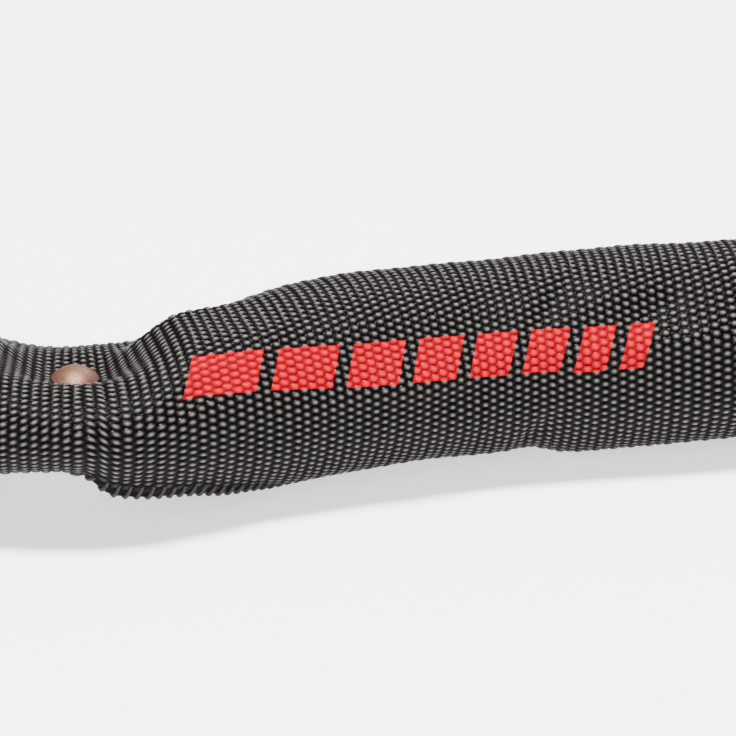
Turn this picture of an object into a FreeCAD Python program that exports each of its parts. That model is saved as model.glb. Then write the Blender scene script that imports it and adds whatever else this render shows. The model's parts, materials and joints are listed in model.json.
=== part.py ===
"""Combination chain lock: a square-bar chain in a woven sleeve, lying unlocked on a table.

The lock barrel lies along X. The chain leaves its right-hand fork, runs round
counter-clockwise in one loop and ends at the locking stud, beside the socket.
Flat links and upright links alternate, and every link hinges about Z on the
end bar of the upright link next to it.
"""
import FreeCAD, Part
import math
import os

V = FreeCAD.Vector
X_AXIS = V(1, 0, 0)
Z_AXIS = V(0, 0, 1)

# ---- shared ----
AXIS_HEIGHT = 14.0        # chain and barrel axis above the table
FIT = 0.03                # radial clearance of fixed fits
FLAT = 0.001              # an edge this thin in one direction lies in a plane across it
BODY_RADIUS = 15.0        # socket cap and anchor block, cut flat where they meet the table

# ---- chain ----
LINKS = 23                # odd links lie flat, even links stand upright
BAR = 6.0                 # square bar
BAR_EDGE = 1.5            # rounding along the bar's edges
LINK_LENGTH = 40.0
LINK_WIDTH = 22.0
FLAT_PITCH = 20.0         # between the two hinges of a flat link
TALL_PITCH = 34.0         # between the two end bars of an upright link
FRONT_BENDS = [26.0, 26.0, 8.0, 17.0, -5.0, -6.0]      # degrees, at the first hinges
CURVES = [(4, 22.0), (3, 3.0), (3, 22.0), (4, 6.0), (4, 20.0)]   # (hinges, degrees at each)

# ---- woven sleeve ----
SLEEVE_RADIUS = 14.0
CLOTH = 1.3               # thickness of the cloth
SLEEVE_LENGTH = 32.0      # of the cloth round one upright link
SLEEVE_START = 7.0        # from the centre of the first and last sleeved link
PINCH_LENGTH = 11.0
LOBE_OFFSET = 8.0         # the cloth's two lobes lie round the two bars of a flat link
LOBE_RADIUS = 6.1
LOBE_RISE = 1.0           # outer lobe up, inner lobe down
WAIST = 7.0               # thickness between the lobes, over both layers of cloth
ROLL = -math.degrees(math.asin(LOBE_RISE / LOBE_OFFSET))
RIVET_RADIUS = 2.0
RIVET_HEAD = 3.5          # head radius
DOME = 2.0                # head height
WASHER_RADIUS = 4.0
WASHER = 0.8

# ---- barrel, along X ----
CAP_START, CAP_END = -38.0, -26.2
CORE_START, CORE_END = -35.0, 19.0
CORE_RADIUS = 8.0
CORE_BORE = 5.4
BORE_END = 12.0
MOUTH_RADIUS = 5.6
TOOTH_SLOT = 3.4          # width of the way that the stud's teeth take
TOOTH_SLOT_RADIUS = 9.2
FIRST_DIAL, DIAL_PITCH, DIALS = -21.8, 8.4, 4
DIAL_WIDTH = 8.0
DIAL_RADIUS = 13.6
DIAL_BORE = 10.5
DIGITS = 10
GATE_WIDTH = 6.4
GATE_BORE, GATE_RADIUS = 8.1, 10.4
GATE_NOTCH_RADIUS = 9.3
LUG_RADIUS, LUG_WIDTH = 11.4, 2.5
KEY_CLEARANCE = 0.2
SPACER_RADIUS = 10.2
SPACER_GAP = 0.3
BLOCK_START, BLOCK_END = 12.4, 40.0
COLLAR_START, COLLAR_END = 8.1, 12.1
COLLAR_RADIUS, COLLAR_BORE = 13.9, 9.3
BOSS_START, BOSS_RADIUS = 8.7, 9.0
FORK_START = 21.4
FORK_SLOT = 7.0
PIN_AT = 33.0
PIN_RADIUS = 3.0
PIN_LENGTH = 26.8
SEAL_RADIUS, SEAL_BAR = 10.5, 1.0
SCREW_RADIUS, SCREW_LENGTH, SCREW_FOOT = 1.5, 4.0, 8.3
SCREW_PLACES = [-30.5, 15.7]
SCREW_ANGLE = 50.0        # each side of straight down

# ---- stud, from its pin towards the socket ----
HEAD_BACK, HEAD_FRONT = -7.0, 16.0
HEAD_SLOT_END = 11.6
FLANGE_END, FLANGE_RADIUS = 18.0, 9.4
SHANK_LENGTH, SHANK_RADIUS = 48.0, 5.0
TAIL_LENGTH, TAIL_RADIUS = 3.8, 4.0
TOOTH_RADIUS, TOOTH_WIDTH, TOOTH_LENGTH = 8.6, 3.0, 1.6


# ---- helpers ----
def rod(start, end, radius):
    """Solid round bar on the X axis."""
    return Part.makeCylinder(radius, end - start, V(start, 0, 0), X_AXIS)


def tube(start, end, outer, inner):
    return rod(start, end, outer).cut(rod(start - 1, end + 1, inner))


def block(start, end, width, low, high):
    """Box centred on y = 0, from x start to end and z low to high."""
    return Part.makeBox(end - start, width, high - low, V(start, -width / 2, low))


def upright(low, high, radius, at_x=0.0):
    """Round bar along Z."""
    return Part.makeCylinder(radius, high - low, V(at_x, 0, low), Z_AXIS)


def turned(shape, degrees, axis=X_AXIS):
    copy = shape.copy()
    copy.rotate(V(0, 0, 0), axis, degrees)
    return copy


def edges_at_x(shape, x):
    """Edges that lie in the plane at x."""
    return [edge for edge in shape.Edges
            if abs(edge.BoundBox.XMin - x) < FLAT and abs(edge.BoundBox.XMax - x) < FLAT]


def level_edges(shape):
    """Edges that lie in a level plane."""
    return [edge for edge in shape.Edges if edge.BoundBox.ZLength < FLAT]


def flat_below(shape, radius):
    """Cut away what would reach below the table."""
    return shape.cut(block(-500, 500, 4 * radius, -2 * radius, -AXIS_HEIGHT))


# ---- path of the chain ----
def chain_path():
    """Hinge points in plan, the heading of each link, and the stud's heading."""
    bends = list(FRONT_BENDS)
    for count, degrees in CURVES:
        bends += [degrees] * count
    x, y, heading = PIN_AT, 0.0, 0.0
    points, headings = [V(x, y, 0)], []
    for number in range(1, LINKS + 1):
        heading += bends[number - 1]
        headings.append(heading)
        pitch = FLAT_PITCH if number % 2 else TALL_PITCH
        x += pitch * math.cos(math.radians(heading))
        y += pitch * math.sin(math.radians(heading))
        points.append(V(x, y, 0))
    return bends, points, headings, heading + bends[LINKS]


BENDS, HINGE_POINTS, HEADINGS, STUD_HEADING = chain_path()


def on_link(shape, number):
    """Move a shape from the link's own frame (centre, length along X) to its place."""
    centre = (HINGE_POINTS[number - 1] + HINGE_POINTS[number]) * 0.5
    copy = turned(shape, HEADINGS[number - 1], Z_AXIS)
    copy.translate(centre)
    return copy


# ---- chain ----
def stadium(length, width, thickness):
    radius = width / 2
    reach = length / 2 - radius
    low = -thickness / 2
    solid = block(-reach, reach, width, low, low + thickness)
    for side in (-reach, reach):
        solid = solid.fuse(upright(low, low + thickness, radius, side))
    return solid.removeSplitter()


def flat_link():
    opening = stadium(LINK_LENGTH - 2 * BAR, LINK_WIDTH - 2 * BAR, 2 * BAR)
    ring = stadium(LINK_LENGTH, LINK_WIDTH, BAR).cut(opening)
    return ring.makeFillet(BAR_EDGE, level_edges(ring))


def link(number):
    shape = flat_link()
    if number % 2 == 0:
        shape = turned(shape, 90)
    return on_link(shape, number)


# ---- sleeve and rivets ----
def sleeve(number):
    start, end = -SLEEVE_LENGTH / 2, SLEEVE_LENGTH / 2
    if number == 2:
        start = SLEEVE_START
    if number == LINKS - 1:
        end = -SLEEVE_START
    return on_link(tube(start, end, SLEEVE_RADIUS, SLEEVE_RADIUS - CLOTH), number)


def lobes(radius, waist, length):
    """Two parallel round lobes joined by a flat waist, along X."""
    half = length / 2
    reach = LOBE_OFFSET / math.cos(math.radians(ROLL))
    solid = block(-half, half, 2 * reach, -waist / 2, waist / 2)
    for side in (-reach, reach):
        lobe = rod(-half, half, radius)
        lobe.translate(V(0, side, 0))
        solid = solid.fuse(lobe)
    return solid.removeSplitter()


def sleeve_pinch(number):
    """Cloth pinched flat by a rivet, which beds into both layers."""
    collar = lobes(LOBE_RADIUS, WAIST, PINCH_LENGTH)
    collar = collar.cut(lobes(LOBE_RADIUS - CLOTH, WAIST - 2 * CLOTH, PINCH_LENGTH + 2))
    collar = collar.cut([upright(-WAIST, WAIST, RIVET_RADIUS + 0.1),
                         upright(WAIST / 2, 2 * WAIST, RIVET_HEAD + 0.1),
                         upright(-2 * WAIST, -WAIST / 2, WASHER_RADIUS + 0.1)])
    return on_link(turned(collar, ROLL), number)


def dome(radius, height, at_z, up=1):
    """Flat-bottomed dome on the Z axis."""
    ball = (radius ** 2 + height ** 2) / (2 * height)
    sphere = Part.makeSphere(ball, V(0, 0, at_z + up * (height - ball)))
    low, high = (at_z, at_z + height) if up > 0 else (at_z - height, at_z)
    return sphere.common(upright(low, high, radius + 1))


def rivet(number):
    seat = WAIST / 2
    shank = upright(-seat - WASHER, seat, RIVET_RADIUS)
    head = dome(RIVET_HEAD, DOME, seat)
    tail = dome(RIVET_RADIUS + 0.9, DOME / 2, -seat - WASHER, -1)
    washer = upright(-seat - WASHER, -seat, WASHER_RADIUS).cut(upright(-2 * seat, 0, RIVET_RADIUS + FIT))
    pair = Part.makeCompound([shank.fuse([head, tail]).removeSplitter(), washer])
    return on_link(turned(pair, ROLL), number)


# ---- barrel ----
def dial_centre(number):
    return FIRST_DIAL + DIAL_PITCH * (number - 1)


def socket_cap():
    cap = rod(CAP_START, CAP_END, BODY_RADIUS)
    cap = cap.makeFillet(1.6, edges_at_x(cap, CAP_START))
    cap = cap.cut(rod(CAP_START - 1, CORE_START + 1, MOUTH_RADIUS))
    cap = cap.cut(rod(CORE_START, CAP_END + 1, CORE_RADIUS + FIT))
    cap = cap.cut(block(CAP_START - 1, CAP_END + 1, TOOTH_SLOT, 0, TOOTH_SLOT_RADIUS))
    groove_depth = 1.45
    wall = SEAL_BAR + 0.05
    cap = cap.cut(tube(CAP_START - 1, CAP_START + groove_depth, SEAL_RADIUS + wall, SEAL_RADIUS - wall))
    for tool in screw_holes(SCREW_PLACES[0]):
        cap = cap.cut(tool)
    return flat_below(cap, BODY_RADIUS)


def socket_seal():
    return Part.makeTorus(SEAL_RADIUS, SEAL_BAR, V(CAP_START + 0.4, 0, 0), X_AXIS)


def leaf_channel(start, end, depth):
    return block(start, end, 4.2, -CORE_RADIUS - 1, -CORE_RADIUS + depth)


LEAF_START = dial_centre(1) - DIAL_WIDTH / 2
LEAF_END = dial_centre(DIALS) + DIAL_WIDTH / 2


def core():
    bar = rod(CORE_START, CORE_END, CORE_RADIUS)
    bar = bar.cut(rod(CORE_START - 1, BORE_END, CORE_BORE))
    bar = bar.cut(block(CORE_START - 1, BORE_END - 1, TOOTH_SLOT, 0, CORE_RADIUS + 1))
    return bar.cut(leaf_channel(LEAF_START, LEAF_END, 1.0))


def detent_leaf():
    """Strip in a channel under the dials, with one rounded rib for each dial."""
    strip = block(LEAF_START + 0.2, LEAF_END - 0.2, 4.0, -CORE_RADIUS + 0.5, -CORE_RADIUS + 1.0)
    for number in range(1, DIALS + 1):
        rib = Part.makeCylinder(0.42, 3.0, V(dial_centre(number), -1.5, -CORE_RADIUS + 0.55), V(0, 1, 0))
        strip = strip.fuse(rib)
    return strip.removeSplitter()


def dial(number):
    centre = dial_centre(number)
    start, end = centre - DIAL_WIDTH / 2, centre + DIAL_WIDTH / 2
    ring = rod(start, end, DIAL_RADIUS)
    ring = ring.makeChamfer(0.5, edges_at_x(ring, start) + edges_at_x(ring, end))
    ring = ring.cut(rod(start - 1, end + 1, DIAL_BORE))
    key = block(start - 1, end + 1, LUG_WIDTH + 2 * KEY_CLEARANCE, 0, LUG_RADIUS + KEY_CLEARANCE)
    groove = rod(start - 1, end + 1, 1.5)
    groove.translate(V(0, 0, DIAL_RADIUS + 1.0))
    tools = [turned(key, 90), turned(key, -90)]
    tools += [turned(groove, 360.0 / DIGITS * (step + 0.5)) for step in range(DIGITS)]
    return ring.cut(tools)


def gate_ring(number):
    """Ring keyed into the dial; the stud's teeth pass its notch at one digit only."""
    centre = dial_centre(number)
    start, end = centre - GATE_WIDTH / 2, centre + GATE_WIDTH / 2
    ring = rod(start, end, GATE_RADIUS)
    lug = block(start, end, LUG_WIDTH, 0, LUG_RADIUS)
    ring = ring.fuse([turned(lug, 90), turned(lug, -90)])
    ring = ring.cut(rod(start - 1, end + 1, GATE_BORE))
    return ring.cut(block(start - 1, end + 1, TOOTH_SLOT, 0, GATE_NOTCH_RADIUS)).removeSplitter()


def spacer_rings():
    """Fixed rings on the core, before, between and after the gate rings."""
    half_gate = GATE_WIDTH / 2 + SPACER_GAP
    spans = [(CAP_END, dial_centre(1) - half_gate)]
    for number in range(1, DIALS):
        spans.append((dial_centre(number) + half_gate, dial_centre(number + 1) - half_gate))
    last = dial_centre(DIALS) + half_gate
    spans.append((last, COLLAR_START - SPACER_GAP))
    rings = []
    for start, end in spans:
        ring = tube(start, end, SPACER_RADIUS, CORE_RADIUS + FIT)
        rings.append(ring.cut(block(start - 1, end + 1, TOOTH_SLOT, 0, GATE_NOTCH_RADIUS)))
    return Part.makeCompound(rings)


def reset_collar():
    """Quarter-turn collar, with a thumb rib on top, for setting a new code."""
    ring = rod(COLLAR_START, COLLAR_END, COLLAR_RADIUS)
    ring = ring.makeChamfer(0.4, edges_at_x(ring, COLLAR_START) + edges_at_x(ring, COLLAR_END))
    ring = ring.fuse(block(COLLAR_START + 0.6, COLLAR_END - 0.6, 4.0, 0, BODY_RADIUS))
    return ring.cut(rod(COLLAR_START - 1, COLLAR_END + 1, COLLAR_BORE)).removeSplitter()


def fork(shape, slot_start, slot_end, pin_at):
    """Cut the slot for a flat link and the hole for its pin."""
    shape = shape.cut(block(slot_start, slot_end, 4 * BODY_RADIUS, -FORK_SLOT / 2, FORK_SLOT / 2))
    return shape.cut(upright(-2 * BODY_RADIUS, 2 * BODY_RADIUS, PIN_RADIUS + FIT, pin_at))


def anchor_block():
    body = rod(BLOCK_START, BLOCK_END, BODY_RADIUS)
    body = body.makeFillet(3.0, edges_at_x(body, BLOCK_END))
    body = body.fuse(rod(BOSS_START, BLOCK_START, BOSS_RADIUS)).removeSplitter()
    body = body.cut(rod(BOSS_START - 1, CORE_END + FIT, CORE_RADIUS + FIT))
    body = fork(body, FORK_START, BLOCK_END + 1, PIN_AT)
    for tool in screw_holes(SCREW_PLACES[1]):
        body = body.cut(tool)
    return flat_below(body, BODY_RADIUS)


def pin(at_x):
    bar = upright(-PIN_LENGTH / 2, PIN_LENGTH / 2, PIN_RADIUS, at_x)
    return bar.makeChamfer(0.5, level_edges(bar))


def anchor_pin():
    return pin(PIN_AT)


def screw_holes(at_x):
    hole = upright(-2 * BODY_RADIUS, -CORE_RADIUS + 1, SCREW_RADIUS + FIT, at_x)
    return [turned(hole, SCREW_ANGLE), turned(hole, -SCREW_ANGLE)]


def grub_screws():
    """Four socket screws that hold the core in the cap and in the anchor block."""
    screws = []
    for at_x in SCREW_PLACES:
        foot = -SCREW_FOOT
        body = upright(foot - SCREW_LENGTH, foot, SCREW_RADIUS, at_x)
        corners = [V(at_x + 0.87 * math.cos(math.radians(60 * step)),
                     0.87 * math.sin(math.radians(60 * step)), foot - SCREW_LENGTH) for step in range(7)]
        key = Part.Face(Part.makePolygon(corners)).extrude(V(0, 0, 1.6))
        body = body.cut(key)
        screws += [turned(body, SCREW_ANGLE), turned(body, -SCREW_ANGLE)]
    return Part.makeCompound(screws)


# ---- stud ----
def on_stud(shape):
    copy = turned(shape, STUD_HEADING, Z_AXIS)
    copy.translate(HINGE_POINTS[LINKS])
    return copy


def stud_head():
    head = rod(HEAD_BACK, HEAD_FRONT, BODY_RADIUS - 0.5)
    head = head.makeFillet(2.4, edges_at_x(head, HEAD_BACK))
    head = head.makeFillet(1.2, edges_at_x(head, HEAD_FRONT))
    head = fork(head, HEAD_BACK - 1, HEAD_SLOT_END, 0.0)
    head = head.cut(rod(HEAD_FRONT - TAIL_LENGTH - FIT, HEAD_FRONT + 1, TAIL_RADIUS + FIT))
    return on_stud(flat_below(head, BODY_RADIUS))


def stud():
    tip = FLANGE_END + SHANK_LENGTH
    shank = rod(FLANGE_END, tip, SHANK_RADIUS)
    shank = shank.makeChamfer(1.2, edges_at_x(shank, tip))
    body = shank.fuse([rod(HEAD_FRONT, FLANGE_END, FLANGE_RADIUS),
                       rod(HEAD_FRONT - TAIL_LENGTH, HEAD_FRONT, TAIL_RADIUS)])
    gap_after_gate = DIAL_PITCH / 2
    for number in range(1, DIALS + 1):
        middle = FLANGE_END + dial_centre(number) + gap_after_gate - CAP_START
        tooth = block(middle - TOOTH_LENGTH / 2, middle + TOOTH_LENGTH / 2, TOOTH_WIDTH, 0, TOOTH_RADIUS)
        body = body.fuse(tooth)
    return on_stud(body.removeSplitter())


def clevis_pin():
    return on_stud(pin(0.0))


# ---- assembly ----
def build():
    nodes = {
        "socket_cap": socket_cap(), "socket_seal": socket_seal(), "core": core(),
        "detent_leaf": detent_leaf(), "spacer_rings": spacer_rings(), "reset_collar": reset_collar(),
        "anchor_block": anchor_block(), "anchor_pin": anchor_pin(), "grub_screws": grub_screws(),
        "stud": stud(), "stud_head": stud_head(), "clevis_pin": clevis_pin(),
    }
    for number in range(1, DIALS + 1):
        nodes["dial_%d" % number] = dial(number)
        nodes["gate_ring_%d" % number] = gate_ring(number)
    for number in range(1, LINKS + 1):
        nodes["link_%02d" % number] = link(number)
    for number in range(2, LINKS, 2):
        nodes["sleeve_%02d" % number] = sleeve(number)
    for number in (3, LINKS - 2):
        nodes["sleeve_pinch_%02d" % number] = sleeve_pinch(number)
        nodes["rivet_%02d" % number] = rivet(number)
    return nodes


def origin_shift(shapes):
    """Move from the barrel's axis to the bottom centre of the whole lock."""
    box = FreeCAD.BoundBox()
    for shape in shapes:
        box.add(shape.optimalBoundingBox(True, False))
    return V(-(box.XMin + box.XMax) / 2, -(box.YMin + box.YMax) / 2, AXIS_HEIGHT)


NODES = build()
SHIFT = origin_shift(NODES.values())

os.makedirs("parts", exist_ok=True)
for name, shape in NODES.items():
    shape.translate(SHIFT)
    shape.exportStep("parts/%s.step" % name)
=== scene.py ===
"""Chain lock: the woven sleeve, its rivets and the lock's finishes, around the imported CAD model."""
import json
import math

import bmesh
import bpy
import numpy as np
from mathutils import Matrix, Vector


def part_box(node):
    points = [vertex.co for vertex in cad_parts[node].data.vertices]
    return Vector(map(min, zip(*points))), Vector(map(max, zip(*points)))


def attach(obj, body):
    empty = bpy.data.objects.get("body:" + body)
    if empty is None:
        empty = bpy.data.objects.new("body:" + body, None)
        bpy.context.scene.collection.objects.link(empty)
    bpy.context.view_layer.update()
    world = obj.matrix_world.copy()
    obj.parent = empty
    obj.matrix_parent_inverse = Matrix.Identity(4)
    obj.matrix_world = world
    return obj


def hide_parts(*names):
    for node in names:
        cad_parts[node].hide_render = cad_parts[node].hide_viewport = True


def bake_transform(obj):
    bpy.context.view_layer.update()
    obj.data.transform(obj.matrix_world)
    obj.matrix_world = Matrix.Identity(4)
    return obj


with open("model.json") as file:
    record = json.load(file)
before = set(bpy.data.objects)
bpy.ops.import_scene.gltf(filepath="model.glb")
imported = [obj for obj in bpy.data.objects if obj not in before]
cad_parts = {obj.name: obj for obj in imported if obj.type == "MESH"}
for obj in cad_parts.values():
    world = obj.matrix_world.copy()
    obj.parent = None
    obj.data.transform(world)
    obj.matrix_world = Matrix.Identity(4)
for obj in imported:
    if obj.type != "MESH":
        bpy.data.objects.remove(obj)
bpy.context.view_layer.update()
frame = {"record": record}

MM = 0.001
TURN = 2 * math.pi

# ---- places taken from the frame ----
JOINTS = frame["record"]["behaviour"]["joints"]
HINGES = [np.array(j["pos_m"]) / MM for j in JOINTS if j["name"].startswith("link_hinge")]
LINKS = len(HINGES) - 1
AXIS_Z = HINGES[0][2]
DIALS = 4


def middle(link):
    """Centre of a link, in mm."""
    return (HINGES[link - 1] + HINGES[link]) / 2


# ---- cloth ----
COLUMN = 1.26            # pitch of the yarns that run round the sleeve
ROW = 0.595              # pitch of the yarns that run along it
ROWS = 148
ROUND_IT = ROW * ROWS
FIRST, LAST = 2, LINKS - 1          # sleeved links
END_OFFSET = 7.0         # the sleeve starts this far past the middle of its first link
RIVETED = (3, LINKS - 2)
FINE_LINKS = range(2, 8)            # links whose cloth gets the finest mesh, as the camera sees them
FINE, COARSE = (6, 4), (4, 3)       # mesh steps to a column and to a row
ROLL = math.asin(1.0 / 8.0)         # the pinched cloth leans outwards with its rivet
OVER = 0.42              # crown of a yarn along the sleeve, above the cloth's middle
FLOOR_GAP = 0.75         # the cloth's middle stays this far above the floor


class Centreline:
    """Smooth line through the middle of every sleeved link, tangent to the link there."""

    def __init__(self):
        stretches = []
        steps = 60
        for link in range(FIRST, LAST):
            a, b, c = middle(link), HINGES[link], middle(link + 1)
            t = np.linspace(0, 1, steps, endpoint=False)[:, None]
            stretches.append((1 - t) ** 2 * a + 2 * t * (1 - t) * b + t * t * c)
        stretches.append(middle(LAST)[None, :])
        self.points = np.concatenate(stretches)
        step = np.linalg.norm(np.diff(self.points, axis=0), axis=1)
        self.s = np.concatenate([[0.0], np.cumsum(step)])
        self.at_link = {link: self.s[steps * (link - FIRST)] for link in range(FIRST, LAST + 1)}

    def at(self, s):
        return np.stack([np.interp(s, self.s, self.points[:, i]) for i in range(3)], axis=1)

    def __call__(self, s):
        """Point and left direction, at arc lengths s."""
        forward = self.at(s + 0.5) - self.at(s - 0.5)
        forward /= np.linalg.norm(forward, axis=1)[:, None]
        left = np.stack([-forward[:, 1], forward[:, 0], 0 * forward[:, 0]], axis=1)
        return self.at(s), left


LINE = Centreline()
START = LINE.at_link[FIRST] + END_OFFSET
END = LINE.at_link[LAST] - END_OFFSET
RIVET_AT = [LINE.at_link[link] for link in RIVETED]


def bump(x, centre, width):
    """1 at the centre, falling away to each side."""
    return np.exp(-((x - centre) / width) ** 2)


def smooth(x, low, high):
    """0 below low, 1 above high and an even slope between."""
    t = np.clip((x - low) / (high - low), 0, 1)
    return t * t * (3 - 2 * t)


class Curve:
    """Smooth line through a few (x, y) points, level at both ends and never past its points."""

    def __init__(self, *points):
        self.x, self.y = (np.array(values, dtype=float) for values in zip(*points))
        slope = np.diff(self.y) / np.diff(self.x)
        before, after = slope[:-1], slope[1:]
        same_way = before * after > 0
        total = np.where(same_way, before + after, 1)
        self.slope = np.concatenate([[0], np.where(same_way, 2 * before * after / total, 0), [0]])

    def __call__(self, x):
        x = np.clip(x, self.x[0], self.x[-1])
        k = np.clip(np.searchsorted(self.x, x) - 1, 0, len(self.x) - 2)
        width = self.x[k + 1] - self.x[k]
        t = (x - self.x[k]) / width
        ease = t * t * (3 - 2 * t)
        bend = t * (1 - t) * ((1 - t) * self.slope[k] - t * self.slope[k + 1]) * width
        return self.y[k] * (1 - ease) + self.y[k + 1] * ease + bend


# Half sizes of the section, in mm, against the distance from the rivet, + towards the middle of the sleeve.
# The cloth lies tight over the flat link at the rivet and over the bow of the upright link next to it.
FRONT_REACH = Curve((-20, 13.4), (-10, 16), (0, 17), (8, 16.4), (15, 14.8), (24, 13.3))
REAR_REACH = Curve((-20, 13.2), (-10, 13.8), (0, 13.6), (10, 13.6), (18, 13.4), (24, 13.3))
MIDDLE_TOP = Curve((-20, 11.9), (-14, 10.6), (-8, 6.2), (-4, 4), (0, 3.2), (3.6, 3.6), (6.2, 5.4), (10, 8.3),
                   (15, 10.9), (22, 11.7), (34, 12.9))
FRONT_TOP = Curve((-20, 12.2), (-10, 7.8), (-4, 6.7), (0, 6.4), (5, 6.9), (10, 8.6), (15, 11), (24, 12.9))
REAR_TOP = Curve((-20, 12.2), (-10, 5.9), (-4, 4.7), (0, 4.5), (6, 4.7), (10, 4.9), (15, 7.2), (22, 10.4),
                 (34, 12.9))
UNDER = Curve((-20, 12.2), (-14, 11.2), (-8, 6.8), (0, 3.6), (4, 4), (10, 9), (15, 11.5), (22, 12.3),
              (34, 12.9))
FRONT_UNDER = Curve((-20, 12), (-10, 7.4), (-2, 6.4), (0.5, 6.7), (4, 9.6), (12, 11.2), (20, 12.6),
                    (28, 12.9))
FLAT_TO, ROUND_FROM = 6, 22         # the section is pinched flat this near the rivet, and round beyond
LOBE_FROM, LOBE_TO = 0.16, 0.56     # shares of the reach between the section's middle and its lobes
BLUNT = 1.2              # how much blunter than an ellipse the pinched section is
FLOOR_EASE = 1.5         # height over which the cloth eases onto the floor

# The curves from here on are against the distance past the first rivet only.
# How far the cloth is turned round the chain, as a share of its girth.
TWIST = Curve((-20, 0), (-8, 0.03), (3, 0.075), (12, 0.058), (24, 0.03), (38, 0.003), (80, -0.01), (120, 0))
# Share of the girth from the cloth's first row, underneath, to the seam, which crosses the weave at a slant.
SEAM = Curve((-20, 0.04), (-3, 0.04), (2, 0.124), (5, 0.114), (10, 0.096), (16, 0.084), (21, 0.074),
             (28, 0.036), (120, 0.04))
SEAM_HEIGHT = Curve((-20, 0.4), (0, 0.4), (3, 1.6), (12, 1.2), (20, 0.8), (28, 0.4))      # in mm
SEAM_WIDTH = 1.7         # half width of the ridge of the seam
# Share of the girth at which a ledge runs along the cloth, pressed out by the links.
RIDGE = Curve((-20, 0.30), (0, 0.335), (17, 0.29), (45, 0.285), (60, 0.31), (90, 0.315), (120, 0.28))

# (distance past the first rivet, share of the girth, half length in mm, half width as a share, mm outwards)
DIMPLES = (
    (66, 0.41, 2.2, 0.05, -0.55), (72, 0.40, 4.5, 0.035, 0.40), (80, 0.385, 3.0, 0.03, -0.60),
    (86, 0.33, 4.0, 0.022, 0.50), (13, 0.35, 3.0, 0.025, -0.45), (19, 0.335, 3.5, 0.022, 0.35),
    (31, 0.30, 5.0, 0.03, -0.30), (52, 0.26, 4.0, 0.03, -0.35), (63, 0.17, 2.0, 0.05, -0.5),
)


def rivet_distance(s):
    """Distance past the nearest rivet, + towards the middle of the sleeve."""
    return np.minimum(s - RIVET_AT[0], RIVET_AT[1] - s)


def slack(s):
    """How much less (+) the cloth stands out than its usual height, in mm, above and below.

    It swells over every upright link, and has a few hollows and swellings in the photographed stretch.
    """
    d = s - RIVET_AT[0]
    links = sum(bump(s, LINE.at_link[link], 13) for link in range(FIRST, LAST + 1, 2))
    above = 0.8 * bump(d, 27, 9) + 0.2 * bump(d, 92, 8) - 0.6 * links
    below = 0.3 * bump(d, 40, 14) + 0.8 * bump(d, 63, 3) - 0.9 * bump(d, 71, 7) - 0.5 * links
    return above, below


def section(s, count=360):
    """Closed outline of the cloth at s and the length along it, from the underside outwards and up.

    Its points are (left, up) from the centreline, in mm.
    """
    angle = np.linspace(0, TURN, count, endpoint=False)
    side, up = -np.sin(angle), -np.cos(angle)
    d = rivet_distance(s)
    flat = 1 - smooth(abs(d), FLAT_TO, ROUND_FROM)
    above, below = slack(s)
    front = side < 0
    y = side * np.where(front, FRONT_REACH(d), REAR_REACH(d))
    under = up < 0
    middle_height = np.where(under, UNDER(d), MIDDLE_TOP(d))
    lobe = np.where(front, np.where(under, FRONT_UNDER(d), FRONT_TOP(d)), REAR_TOP(d))
    height = middle_height + (lobe - middle_height) * smooth(np.abs(side), LOBE_FROM, LOBE_TO)
    height = height - np.where(under, below, above) * (1 - flat)
    z = np.sign(up) * height * np.sqrt(1 - np.abs(side) ** (2 + BLUNT * flat))
    z = z + np.maximum(-y, 0) * math.tan(ROLL) * flat
    floor = FLOOR_GAP - AXIS_Z
    over = z - floor - FLOOR_EASE
    z = np.where(over < 0, floor + FLOOR_EASE * np.exp(np.minimum(over, 0) / FLOOR_EASE), z)
    outline = np.stack([y, z], axis=1)
    closed = np.vstack([outline, outline[:1]])
    length = np.concatenate([[0], np.cumsum(np.linalg.norm(np.diff(closed, axis=0), axis=1))])
    return closed, length


RIB = 0.10               # height of the yarns that run round the sleeve
FLOAT_LENGTH = 0.56      # half length of a float, in columns
FLOAT_WIDTH = 0.92       # half width of a float, in rows
LOW_COLUMN = 0.78        # every second column's floats are this much lower


def weave(s, w):
    """Height of the woven surface, and how near each point is to the crown of a float (1 at its middle).

    Round floats of the yarns along the sleeve stand over the yarns that run round it.
    """
    column, row = s / COLUMN, w / ROW
    i, j = np.floor(column), np.floor(row)
    height = 0 * row + RIB * np.sqrt(np.maximum(1 - (2 * (column - i - 0.5)) ** 2, 0))
    crown = 0 * height
    for di, dj in ((0, 0), (1, 0), (-1, 0), (0, 1), (0, -1)):
        here = (i + di + j + dj) % 2 == 0
        along = (column - i - di - 0.5) / FLOAT_LENGTH
        across = (row - j - dj - 0.5) / FLOAT_WIDTH
        near = np.where(here, np.maximum(1 - along ** 2 - across ** 2, 0), 0)
        tall = np.where((i + di) % 2 == 0, 1.0, LOW_COLUMN) * OVER
        height = np.maximum(height, tall * np.sqrt(near))
        crown = np.maximum(crown, near)
    return height, crown


def creases(s, girth):
    """Ridges, ledges and dimples of the cloth, in mm outwards. girth is the share of the way round."""
    d = s - RIVET_AT[0]
    a = TURN * girth
    ridge = RIDGE(d)
    out = 0.14 * np.sin(s / 7.3 + 2 * np.sin(a)) * np.sin(2 * a + s / 11.0)
    out = out + 0.10 * np.sin(s / 3.1 + 3 * np.cos(a + 0.6)) * np.cos(3 * a - s / 6.1)
    shelf = 0.45 * bump(girth, ridge, 0.022) - 0.5 * bump(girth, ridge + 0.07, 0.04)
    out = out + shelf * (0.75 + 0.35 * np.sin(d / 5.5)) * smooth(d, 12, 26)
    for place, share, along, across, lift in DIMPLES:
        out = out + lift * bump(d, place + 60 * (girth - share), along) * bump(girth, share, across)
    return out


def seam_row(s):
    """Place of the seam round the cloth, in mm."""
    return SEAM(s - RIVET_AT[0]) * ROUND_IT


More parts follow.
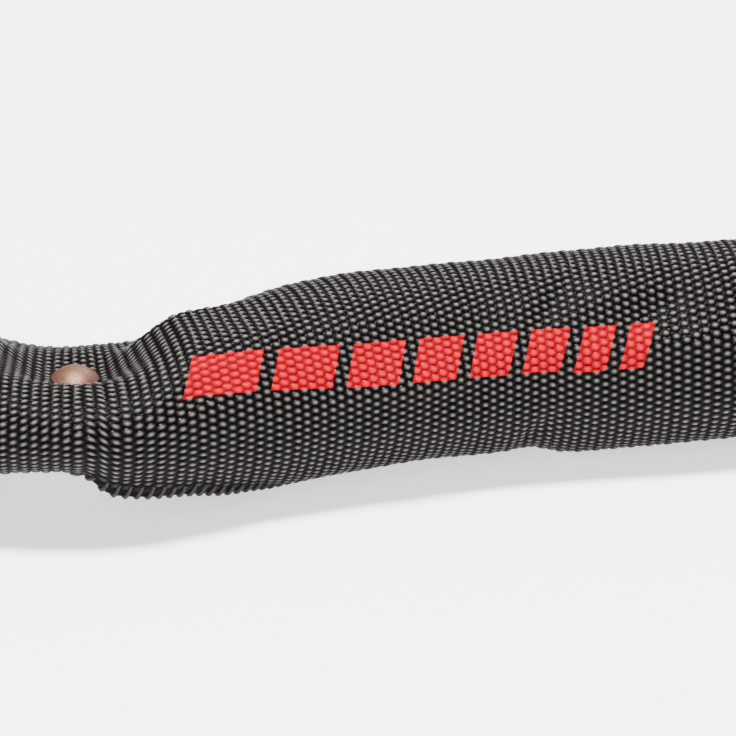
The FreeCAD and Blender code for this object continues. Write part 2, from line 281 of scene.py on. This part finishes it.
TANGENT_STEP = 0.4       # the cloth's direction is taken this far to each side of a point


def skin(s, w, lift, inset=0.0):
    """Points of the cloth at arc length s and places w round it, lifted outwards in mm."""
    closed, length = section(s)
    girth = (w / ROUND_IT + TWIST(s - RIVET_AT[0])) % 1
    along = girth * length[-1]
    y, z = np.interp(along, length, closed[:, 0]), np.interp(along, length, closed[:, 1])
    ahead, behind = (along + TANGENT_STEP) % length[-1], (along - TANGENT_STEP) % length[-1]
    ty = np.interp(ahead, length, closed[:, 0]) - np.interp(behind, length, closed[:, 0])
    tz = np.interp(ahead, length, closed[:, 1]) - np.interp(behind, length, closed[:, 1])
    size = np.hypot(ty, tz)
    seam = SEAM_HEIGHT(s - RIVET_AT[0]) * bump(w, seam_row(s), SEAM_WIDTH)
    rise = lift + creases(s, girth) * (inset == 0) + seam - inset
    place, left = LINE(np.array([s]))
    y, z = y - tz / size * rise, z + ty / size * rise
    return place + y[:, None] * left + z[:, None] * np.array([0, 0, 1.0])


STITCH_PITCH = 1.32
STITCH_RADIUS = 0.32
STITCH_REACH = 1.6       # half the length of a loop, across the seam
STITCH_LIFT = 0.12
STITCH_SLANT, STITCH_BOW = 0.45, 0.25
STITCH_SHADE = 0.74      # the thread's shade, on the same scale as the crown of a float
FIRST_STITCH = 0.6       # from the start of each piece of cloth
LAST_GAP = 0.4           # least room left for the last loop at the piece's end


def stitch(s, count=7, sides=6):
    """Vertices and faces of one slanted loop of thread over the seam, thinner at its ends."""
    path = []
    for t in np.linspace(-1, 1, count):
        bow = 1 - t * t
        at = s + STITCH_SLANT * t - STITCH_BOW * bow
        path.append(skin(at, np.array([seam_row(s) + STITCH_REACH * t]), STITCH_LIFT * bow)[0])
    path = np.array(path)
    tangent = np.gradient(path, axis=0)
    tangent /= np.linalg.norm(tangent, axis=1)[:, None]
    across = np.cross(tangent, np.array([0, 0, 1.0]))
    across /= np.linalg.norm(across, axis=1)[:, None]
    other = np.cross(tangent, across)
    turn = np.arange(sides) / sides * TURN
    radius = STITCH_RADIUS * (1.05 - 0.45 * np.linspace(-1, 1, count) ** 4)[:, None, None]
    ring = across[:, None] * np.cos(turn)[None, :, None] + other[:, None] * np.sin(turn)[None, :, None]
    verts = (path[:, None] + ring * radius).reshape(-1, 3)
    quads = []
    for i in range(count - 1):
        low, high = i * sides, (i + 1) * sides
        for k in range(sides):
            after = (k + 1) % sides
            quads.append((low + k, low + after, high + after, high + k))
    ends = [tuple(range(sides)), tuple(range(count * sides - 1, (count - 1) * sides - 1, -1))]
    return verts, quads + ends


HEM = 9.0                # cloth turned in at each mouth of the sleeve
HEM_STEPS, LIP_STEPS = 12, 6
LIP = 0.55               # half the thickness of the turned edge
UV_SCALE = 100           # mm of cloth to one unit of its UV map


def hem_rows(start, way):
    """(arc length, inset) of the rows of cloth turned in at a mouth, from inside to the lip.

    way is +1 at the sleeve's start and -1 at its end.
    """
    inside = [(start + way * HEM * (1 - k / HEM_STEPS), 2 * LIP) for k in range(HEM_STEPS)]
    turns = np.linspace(0, math.pi, LIP_STEPS, endpoint=False)
    lip = [(start - way * LIP * math.sin(turn), LIP * (1 + math.cos(turn))) for turn in turns]
    return inside + lip


def cloth_piece(name, columns, per_column, per_row, hem=0):
    """Woven tube between two columns of yarn, with the seam's stitches.

    hem is +1 for a hem at its start, -1 for one at its end and 0 for none.
    """
    low, high = columns
    rows = [(at, 0.0) for at in np.linspace(low * COLUMN, high * COLUMN, (high - low) * per_column + 1)]
    if hem > 0:
        rows = hem_rows(low * COLUMN, 1) + rows
    if hem < 0:
        rows = rows + hem_rows(high * COLUMN, -1)[::-1]
    steps = ROWS * per_row
    w = (np.arange(steps) + 0.5) / per_row * ROW
    s = np.array([row[0] for row in rows])
    inset = np.array([row[1] for row in rows])
    heights, crown = weave(s[:, None], w[None, :])
    sewn = bump(w[None, :], seam_row(s)[:, None], SEAM_WIDTH)
    # along the seam the floats are flattened and the crown is cleared, so the painted highlight fades out and
    # the seam takes the darkest painted shade
    heights, crown = heights * (1 - 0.8 * sewn), crown * (1 - sewn)
    heights[inset > 0] = RIB
    verts = np.concatenate([skin(at, w, heights[r], inset[r]) for r, at in enumerate(s)])
    grid = np.arange(len(s) * steps).reshape(len(s), steps)
    nxt = np.roll(grid, -1, axis=1)
    faces = np.stack([grid[:-1], grid[1:], nxt[1:], nxt[:-1]], axis=2).reshape(-1, 4).tolist()
    u, v = np.repeat(s, steps), np.tile(w, len(s))
    crown = crown.ravel()
    for at in np.arange(low * COLUMN, high * COLUMN - LAST_GAP, STITCH_PITCH) + FIRST_STITCH:
        loop, loop_faces = stitch(at)
        faces += [tuple(len(verts) + k for k in face) for face in loop_faces]
        verts = np.concatenate([verts, loop])
        u, v = np.append(u, np.full(len(loop), at)), np.append(v, np.full(len(loop), seam_row(at)))
        crown = np.append(crown, np.full(len(loop), STITCH_SHADE))
    return cloth_object(name, verts, faces, u, v, crown)


def cloth_object(name, verts, faces, u, v, crown):
    """Object with, at each corner, its place along and round the cloth, and at each point its crown value."""
    mesh = bpy.data.meshes.new(name)
    mesh.from_pydata((verts * MM).tolist(), [], faces)
    mesh.validate()
    corner = np.empty(len(mesh.loops), dtype=np.int64)
    mesh.loops.foreach_get("vertex_index", corner)
    u, v = u[corner], v[corner]
    sizes = np.empty(len(mesh.polygons), dtype=np.int64)
    mesh.polygons.foreach_get("loop_total", sizes)
    first = np.repeat(v[np.concatenate([[0], np.cumsum(sizes)[:-1]])], sizes)
    v = v + np.where(first - v > ROUND_IT / 2, ROUND_IT, 0) - np.where(v - first > ROUND_IT / 2, ROUND_IT, 0)
    uv = mesh.uv_layers.new(name="cloth")
    uv.data.foreach_set("uv", (np.stack([u, v], axis=1) / UV_SCALE).astype(np.float32).ravel())
    # crown drives the cloth's painted shade between the floats and painted highlight on their crowns
    attribute = mesh.attributes.new("crown", "FLOAT", "POINT")
    attribute.data.foreach_set("value", crown.astype(np.float32))
    mesh.polygons.foreach_set("use_smooth", [True] * len(mesh.polygons))
    obj = bpy.data.objects.new(name, mesh)
    bpy.context.collection.objects.link(obj)
    return obj


# ---- materials ----
def new_material(name):
    material = bpy.data.materials.new(name)
    material.use_nodes = True
    return material, material.node_tree.nodes, material.node_tree.links


def ramp(nodes, stops):
    """Colour ramp node through (place, colour) stops."""
    node = nodes.new("ShaderNodeValToRGB")
    while len(node.color_ramp.elements) < len(stops):
        node.color_ramp.elements.new(0.5)
    for element, (at, colour) in zip(node.color_ramp.elements, stops):
        element.position = at
        element.color = (*colour, 1)
    return node


def math_node(nodes, links, kind, a, b):
    """Output of a Math node on two values, each a number or another node's output."""
    node = nodes.new("ShaderNodeMath")
    node.operation = kind
    for socket, value in zip(node.inputs, (a, b)):
        if isinstance(value, (int, float)):
            socket.default_value = value
        else:
            links.new(value, socket)
    return node.outputs[0]


def between(nodes, links, value, low, high):
    """1 where low < value < high."""
    above = math_node(nodes, links, "GREATER_THAN", value, low)
    below = math_node(nodes, links, "LESS_THAN", value, high)
    return math_node(nodes, links, "MULTIPLY", above, below)


def cloth_material():
    """Black yarn with the red print over it, both painted darker between the floats as painted shade and
    lighter at each float's crown as a painted highlight.
    """
    material, nodes, links = new_material("woven_polyester")
    bsdf = nodes["Principled BSDF"]
    uv = nodes.new("ShaderNodeUVMap")
    uv.uv_map = "cloth"
    split = nodes.new("ShaderNodeSeparateXYZ")
    links.new(uv.outputs[0], split.inputs[0])
    along = math_node(nodes, links, "MULTIPLY", split.outputs[0], UV_SCALE)
    around = math_node(nodes, links, "MULTIPLY", split.outputs[1], UV_SCALE)
    crown = nodes.new("ShaderNodeAttribute")
    crown.attribute_name = "crown"
    # painted shade and highlight: the black yarn runs from near black in the gaps between floats, where shade
    # falls, to light grey at each float's crown
    black = ramp(nodes, [(0.0, (0.0008, 0.0007, 0.0007)), (0.4, (0.005, 0.0044, 0.0042)),
                         (0.72, (0.026, 0.0235, 0.0222)), (1.0, (0.12, 0.112, 0.107))])
    links.new(crown.outputs["Fac"], black.inputs[0])
    # the red print gets the same painted shade in the gaps and painted highlight at the crowns
    red = ramp(nodes, [(0.0, (0.15, 0.0, 0.004)), (0.3, (0.24, 0.0, 0.006)),
                       (0.7, (0.38, 0.0, 0.010)), (1.0, (0.52, 0.006, 0.014))])
    links.new(crown.outputs["Fac"], red.inputs[0])
    print_mask = stripes(nodes, links, along, around)
    mix = nodes.new("ShaderNodeMix")
    mix.data_type = "RGBA"
    links.new(print_mask, mix.inputs[0])
    links.new(black.outputs[0], mix.inputs[6])
    links.new(red.outputs[0], mix.inputs[7])
    links.new(mix.outputs[2], bsdf.inputs["Base Color"])
    noise = nodes.new("ShaderNodeTexNoise")
    noise.inputs["Scale"].default_value = 900
    rough = ramp(nodes, [(0.3, (0.16,) * 3), (0.7, (0.28,) * 3)])
    links.new(noise.outputs["Fac"], rough.inputs[0])
    links.new(rough.outputs[0], bsdf.inputs["Roughness"])
    bsdf.inputs["Specular IOR Level"].default_value = 0.03
    return material


BAND = (0.295, 0.368)    # the print's edges, as shares of the girth from the underside
BAND_START = RIVET_AT[0] + 11.8
BARS = ((0, 9.5), (11.5, 20), (22, 29.5), (31.5, 38), (40, 46), (48, 53.5), (55.5, 60), (62, 65.5))
SLANT = 0.35


def stripes(nodes, links, along, around):
    """Slanted bars of a plain printed band, wide at its start and narrow at its end."""
    up = math_node(nodes, links, "SUBTRACT", around, BAND[0] * ROUND_IT)
    lean = math_node(nodes, links, "MULTIPLY", up, SLANT)
    place = math_node(nodes, links, "SUBTRACT", math_node(nodes, links, "SUBTRACT", along, BAND_START), lean)
    band = between(nodes, links, up, 0, (BAND[1] - BAND[0]) * ROUND_IT)
    bars = 0
    for low, high in BARS:
        bars = math_node(nodes, links, "ADD", between(nodes, links, place, low, high), bars)
    return math_node(nodes, links, "MULTIPLY", band, bars)


def metal(name, colour, rough, scale=300.0, bumps=0.15, metallic=1.0):
    """Metal with slow colour change, fine grain and a slight bump."""
    material, nodes, links = new_material(name)
    bsdf = nodes["Principled BSDF"]
    bsdf.inputs["Metallic"].default_value = metallic
    coords = nodes.new("ShaderNodeTexCoord")
    noise = nodes.new("ShaderNodeTexNoise")
    noise.inputs["Scale"].default_value = scale
    noise.inputs["Detail"].default_value = 6
    links.new(coords.outputs["Object"], noise.inputs["Vector"])
    dark, light = (tuple(min(share * c, 1) for c in colour) for share in (0.72, 1.15))
    shade = ramp(nodes, [(0.25, dark), (0.75, light)])
    links.new(noise.outputs["Fac"], shade.inputs[0])
    links.new(shade.outputs[0], bsdf.inputs["Base Color"])
    grain = nodes.new("ShaderNodeTexNoise")
    grain.inputs["Scale"].default_value = scale * 8
    links.new(coords.outputs["Object"], grain.inputs["Vector"])
    spread = ramp(nodes, [(0.3, (rough * 0.8,) * 3), (0.7, (min(rough * 1.3, 1),) * 3)])
    links.new(grain.outputs["Fac"], spread.inputs[0])
    links.new(spread.outputs[0], bsdf.inputs["Roughness"])
    relief = nodes.new("ShaderNodeBump")
    relief.inputs["Strength"].default_value = bumps
    relief.inputs["Distance"].default_value = 0.00005
    links.new(grain.outputs["Fac"], relief.inputs["Height"])
    links.new(relief.outputs[0], bsdf.inputs["Normal"])
    return material


def paint(name, colour, rough):
    """Enamel or rubber: a metal() surface that isn't metallic, with little gloss."""
    material = metal(name, colour, rough, metallic=0.0)
    material.node_tree.nodes["Principled BSDF"].inputs["Specular IOR Level"].default_value = 0.12
    return material


# ---- sleeve and finishes ----
def make_sleeve(material):
    """The sleeve, one piece from the middle of each link to the middle of the next, cut between columns."""
    cuts = {link: round(LINE.at_link[link] / COLUMN) for link in range(FIRST, LAST + 1)}
    cuts[FIRST] = round(START / COLUMN)
    cuts[LAST] = round(END / COLUMN)
    stands_for = {link: ["sleeve_%02d" % link] for link in range(FIRST, LAST, 2)}
    stands_for[RIVETED[0]] = ["sleeve_pinch_%02d" % RIVETED[0]]
    stands_for[RIVETED[1]] = ["sleeve_pinch_%02d" % RIVETED[1], "sleeve_%02d" % LAST]
    for link in range(FIRST, LAST):
        per_column, per_row = FINE if link in FINE_LINKS else COARSE
        hem = (link == FIRST) - (link == LAST - 1)
        piece = cloth_piece("cloth_%02d_%02d" % (link, link + 1), (cuts[link], cuts[link + 1]),
                            per_column, per_row, hem)
        piece.data.materials.append(material)
        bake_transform(piece)
        if link in stands_for:
            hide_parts(*stands_for[link])


FINISHES = {
    "barrel_finish": lambda: paint("black_enamel", (0.008, 0.008, 0.009), 0.32),
    "dial_finish": lambda: paint("dial_black", (0.012, 0.012, 0.013), 0.42),
    "collar_finish": lambda: metal("collar_steel", (0.16, 0.16, 0.165), 0.34),
    "chain_steel": lambda: metal("chain_zinc", (0.125, 0.125, 0.122), 0.36),
    "rivet_copper": lambda: metal("rivet_copper", (0.17, 0.082, 0.052), 0.5, metallic=0.7),
    "seal_rubber": lambda: paint("seal_rubber", (0.006, 0.006, 0.006), 0.7),
    "stud_steel": lambda: metal("stud_steel", (0.18, 0.18, 0.185), 0.26),
    "inner_brass": lambda: metal("inner_brass", (0.17, 0.12, 0.05), 0.35),
    "inner_steel": lambda: metal("inner_steel", (0.13, 0.13, 0.135), 0.35),
}


def dress_nodes():
    """Give every CAD node the finish of its material slot."""
    made = {slot: make() for slot, make in FINISHES.items()}
    for part in frame["record"]["subparts"]:
        obj = bpy.data.objects.get(part["node"])
        slot = part["material_slot"]
        if obj is None or slot not in made:
            continue
        obj.data.materials.clear()
        obj.data.materials.append(made[slot])


# ---- numerals and index lines ----
DIAL_RADIUS = 13.6
DIGIT_HEIGHT = 4.3
CAP_HEIGHT = 0.7         # height of a numeral, as a share of the font's size
DIGIT_SINK, DIGIT_PROUD = 0.25, 0.06        # a numeral's depth in the surface, and height above it
LONGEST_EDGE = 0.9       # of a numeral, so that it bends round the dial


def wrapped_digit(text, turn, radius):
    """One numeral as a thin solid bent round the dial's axis, in mm, at an angle from the top."""
    curve = bpy.data.curves.new("digit", "FONT")
    curve.body = text
    curve.size = DIGIT_HEIGHT / CAP_HEIGHT
    curve.align_x, curve.align_y = "CENTER", "CENTER"
    curve.extrude = (DIGIT_SINK + DIGIT_PROUD) / 2
    curve.resolution_u = 4
    holder = bpy.data.objects.new("digit", curve)
    bpy.context.collection.objects.link(holder)
    flat = bpy.data.meshes.new_from_object(holder)
    bpy.data.objects.remove(holder)
    bpy.data.curves.remove(curve)
    solid = bmesh.new()
    solid.from_mesh(flat)
    bpy.data.meshes.remove(flat)
    bmesh.ops.remove_doubles(solid, verts=solid.verts, dist=0.001)
    bmesh.ops.triangulate(solid, faces=solid.faces)
    for _ in range(2):
        long_edges = [edge for edge in solid.edges if edge.calc_length() > LONGEST_EDGE]
        bmesh.ops.subdivide_edges(solid, edges=long_edges, cuts=1)
        bmesh.ops.triangulate(solid, faces=solid.faces)
    middle_y = (min(v.co.y for v in solid.verts) + max(v.co.y for v in solid.verts)) / 2
    for vert in solid.verts:
        angle = turn - (vert.co.y - middle_y) / radius
        reach = radius + vert.co.z + (DIGIT_PROUD - DIGIT_SINK) / 2
        vert.co = (vert.co.x, -reach * math.sin(angle), reach * math.cos(angle))
    return solid


def make_digits(material):
    """Numerals 0 to 9 round each dial, with 0 at the top and 1 next to it in front."""
    for number in range(1, DIALS + 1):
        low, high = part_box("dial_%d" % number)
        centre = (Vector(low) + Vector(high)) / 2 / MM
        joined = bmesh.new()
        for digit in range(10):
            part = wrapped_digit(str(digit), digit * TURN / 10, DIAL_RADIUS)
            mesh = bpy.data.meshes.new("part")
            part.to_mesh(mesh)
            part.free()
            joined.from_mesh(mesh)
            bpy.data.meshes.remove(mesh)
        add_solid("dial_%d_digits" % number, joined, centre, material, "dial_%d" % number)


MARK_LENGTH, MARK_WIDTH = 2.6, 0.9
MARK_INSET = 2.2         # from the end of the cap, or of the collar, to the middle of the line


def make_index_marks(material):
    """A short line on the barrel at each side of the dials, where the code is read."""
    for node, way in (("socket_cap", -1), ("reset_collar", 1)):
        low, high = (Vector(corner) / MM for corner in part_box(node))
        line = bmesh.new()
        bmesh.ops.create_cube(line, size=1)
        bmesh.ops.scale(line, vec=(MARK_LENGTH, MARK_WIDTH, DIGIT_SINK + DIGIT_PROUD), verts=line.verts)
        centre_z = high.z + (DIGIT_PROUD - DIGIT_SINK) / 2
        centre = Vector((high.x + way * MARK_INSET, (low.y + high.y) / 2, centre_z))
        add_solid("index_by_%s" % node, line, centre, material, "barrel")


def add_solid(name, solid, centre, material, body):
    """Object from a bmesh in mm round centre, riding on a body."""
    mesh = bpy.data.meshes.new(name)
    bmesh.ops.transform(solid, matrix=Matrix.Scale(MM, 4) @ Matrix.Translation(centre), verts=solid.verts)
    solid.to_mesh(mesh)
    solid.free()
    mesh.materials.append(material)
    piece = bpy.data.objects.new(name, mesh)
    bpy.context.collection.objects.link(piece)
    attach(piece, body)


# ---- camera and stage ----
CAMERA_TURN = -2.1       # degrees, from the first riveted link's own direction
CAMERA_LIFT = 26.0       # degrees above the table
CAMERA_DISTANCE = 1600.0
FRAME_WIDTH = 99.5       # mm of the lock in the frame
AIM_RIGHT, AIM_UP = 39.6, 4.9       # middle of the frame, from the middle of the riveted link


def make_camera():
    """Camera at the photograph's angle. Returns the directions to its right and away from it, level."""
    before, after = HINGES[RIVETED[0] - 1], HINGES[RIVETED[0]]
    rivet = (before + after) / 2
    forward = after - before
    forward /= np.linalg.norm(forward)
    turn = math.radians(CAMERA_TURN)
    right = np.array([forward[0] * math.cos(turn) - forward[1] * math.sin(turn),
                      forward[0] * math.sin(turn) + forward[1] * math.cos(turn), 0])
    away = np.array([-right[1], right[0], 0])
    lift = math.radians(CAMERA_LIFT)
    look = away * math.cos(lift) - np.array([0, 0, 1.0]) * math.sin(lift)
    up = away * math.sin(lift) + np.array([0, 0, 1.0]) * math.cos(lift)
    place = rivet + right * AIM_RIGHT + up * AIM_UP - look * CAMERA_DISTANCE
    camera = bpy.data.cameras.new("camera")
    camera.sensor_width = 36
    camera.lens = camera.sensor_width * CAMERA_DISTANCE / FRAME_WIDTH
    camera.clip_start, camera.clip_end = 0.05, 20
    obj = bpy.data.objects.new("camera", camera)
    bpy.context.collection.objects.link(obj)
    basis = Matrix((right, up, -look)).transposed()
    obj.matrix_world = Matrix.Translation(Vector(place * MM)) @ basis.to_4x4()
    bpy.context.scene.camera = obj
    return right, away


def make_light(name, place, target, size, power):
    light = bpy.data.lights.new(name, "AREA")
    light.size = size
    light.energy = power
    obj = bpy.data.objects.new(name, light)
    bpy.context.collection.objects.link(obj)
    obj.location = place
    obj.rotation_euler = (target - place).to_track_quat("-Z", "Y").to_euler()


FLOOR_GLOW = 1.3         # the floor is a lit table, as under a cut-out product shot
WORLD = 0.35
FLOOR_REACH = 3.0        # in metres

# name, (right, away, up) from the middle of link 4, size of the lamp, watts; lengths in metres
LAMPS = (
    ("key", (0, -0.05, 1.0), 0.2, 44),
    ("fill", (-0.5, -0.9, 0.6), 0.6, 8),
    ("back", (0.4, 0.9, 0.7), 0.5, 6),
)


def make_stage(right, away):
    """Pale floor, even sky and three soft lamps."""
    mesh = bpy.data.meshes.new("floor")
    corners = [(x * FLOOR_REACH, y * FLOOR_REACH, 0) for x, y in ((-1, -1), (1, -1), (1, 1), (-1, 1))]
    mesh.from_pydata(corners, [], [(0, 1, 2, 3)])
    floor = bpy.data.objects.new("floor", mesh)
    bpy.context.collection.objects.link(floor)
    material, nodes, links = new_material("floor")
    bsdf = nodes["Principled BSDF"]
    noise = nodes.new("ShaderNodeTexNoise")
    noise.inputs["Scale"].default_value = 4
    tint = ramp(nodes, [(0.3, (0.93, 0.93, 0.925)), (0.7, (0.95, 0.95, 0.945))])
    links.new(noise.outputs["Fac"], tint.inputs[0])
    links.new(tint.outputs[0], bsdf.inputs["Base Color"])
    links.new(tint.outputs[0], bsdf.inputs["Emission Color"])
    bsdf.inputs["Emission Strength"].default_value = FLOOR_GLOW
    bsdf.inputs["Roughness"].default_value = 0.9
    floor.data.materials.append(material)
    world = bpy.data.worlds.new("world")
    bpy.context.scene.world = world
    world.use_nodes = True
    world.node_tree.nodes["Background"].inputs[0].default_value = (1, 1, 1, 1)
    world.node_tree.nodes["Background"].inputs[1].default_value = WORLD
    centre = Vector(middle(4) * MM)
    for name, (across, back, height), size, power in LAMPS:
        place = centre + Vector(right) * across + Vector(away) * back + Vector((0, 0, height))
        make_light(name, place, centre, size, power)


make_sleeve(cloth_material())
dress_nodes()
digit_white = paint("digit_white", (0.22, 0.22, 0.215), 0.5)
make_digits(digit_white)
make_index_marks(digit_white)
right, away = make_camera()
make_stage(right, away)
